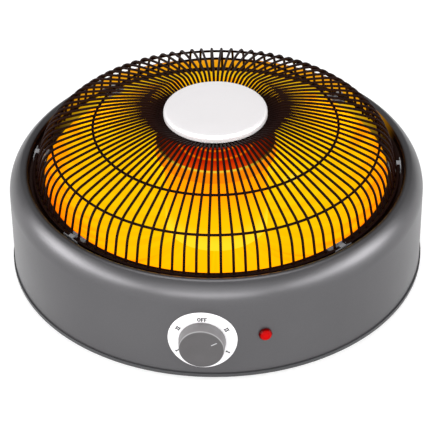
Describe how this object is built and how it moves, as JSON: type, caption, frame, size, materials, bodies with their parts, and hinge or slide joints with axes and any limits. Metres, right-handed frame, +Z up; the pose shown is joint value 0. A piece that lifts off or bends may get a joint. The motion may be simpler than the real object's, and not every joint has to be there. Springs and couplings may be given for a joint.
{
  "type": "electric brazier",
  "caption": "Low round electric brazier: grey steel casing, domed black wire guard over a glowing reflector dish and drum, front dial knob and pilot lamp.",
  "frame": {"origin": "on the floor, under the centre of the casing and of the part's box", "axes": "+Z up along the casing and guard axis, -Y towards the control knob, +X to the right of a person facing the knob"},
  "size_m": [0.4025, 0.432, 0.1672],
  "materials": {
    "casing_grey": "satin",
    "base_grey": "satin",
    "guard_black": "satin",
    "disc_steel": "polished",
    "clip_steel": "bright",
    "zinc_steel": "zinc plated",
    "foot_rubber": "matte",
    "reflector_metal": "bright, lit by the elements",
    "shield_metal": "satin",
    "mineral_felt": "felted mineral fibre",
    "drum_metal": "heat coloured",
    "cap_metal": "dark red",
    "ceramic": "unglazed steatite ceramic",
    "element_sheath": "heat coloured",
    "cutout_ceramic": "ceramic body",
    "dial_white": "satin",
    "knob_grey": "satin",
    "pointer_grey": "satin",
    "switch_black": "matte",
    "cam_red": "matte",
    "lamp_red": "clear red",
    "bulb_glass": "clear",
    "brass": "bright",
    "block_ivory": "matte",
    "gland_black": "matte",
    "lead_brown": "matte",
    "lead_black": "matte",
    "lead_red": "matte",
    "lead_blue": "matte",
    "lead_white": "matte",
    "lead_green": "matte"
  },
  "bodies": {
    "root": {"outer_casing": "casing_grey", "base_plate": "base_grey", "base_lugs": "zinc_steel", "base_screws": "zinc_steel", "rubber_feet": "foot_rubber", "foot_screws": "zinc_steel", "guard_base_ring": "guard_black", "guard_outer_ring": "guard_black", "guard_inner_ring": "guard_black", "guard_wires": "guard_black", "guard_hub_plate": "guard_black", "centre_disc": "disc_steel", "centre_disc_nut": "zinc_steel", "guard_clips": "clip_steel", "clip_screws": "clip_steel", "reflector_dish": "reflector_metal", "insulation_disc": "mineral_felt", "heat_shield": "shield_metal", "shield_pillars": "zinc_steel", "radiant_drum": "drum_metal", "drum_cap": "cap_metal", "ceramic_base": "ceramic", "ceramic_core": "ceramic", "lower_element": "element_sheath", "upper_element": "element_sheath", "ceramic_bushes": "ceramic", "tie_rod": "zinc_steel", "tie_rod_nuts": "zinc_steel", "thermal_cutout": "cutout_ceramic", "cutout_screws": "zinc_steel", "dial_plate": "dial_white", "switch_body": "switch_black", "switch_cover": "switch_black", "switch_contacts": "brass", "switch_screws": "zinc_steel", "lamp_lens": "lamp_red", "lamp_body": "switch_black", "lamp_bulb": "bulb_glass", "lamp_nut": "zinc_steel", "lamp_tabs": "brass", "push_on_connectors": "brass", "terminal_block": "block_ivory", "terminal_screws": "zinc_steel", "terminal_block_screw": "zinc_steel", "inlet_gland": "gland_black", "gland_nut": "gland_black", "gland_locknut": "gland_black", "earth_stud": "brass", "earth_nut": "brass", "live_lead": "lead_brown", "switch_lead": "lead_brown", "low_heat_lead": "lead_black", "high_heat_lead": "lead_red", "neutral_leads": "lead_blue", "lamp_leads": "lead_white", "earth_lead": "lead_green"},
    "knob_body": {"knob": "knob_grey", "knob_pointer": "pointer_grey", "switch_shaft": "zinc_steel", "switch_cam": "cam_red"}
  },
  "joints": [
    {"name": "knob_turn", "type": "hinge", "parent": "root", "child": "knob_body", "pos_m": [0, -0.2, 0.048], "axis": [0, -1, 0], "range_deg": [-60, 180]}
  ]
}
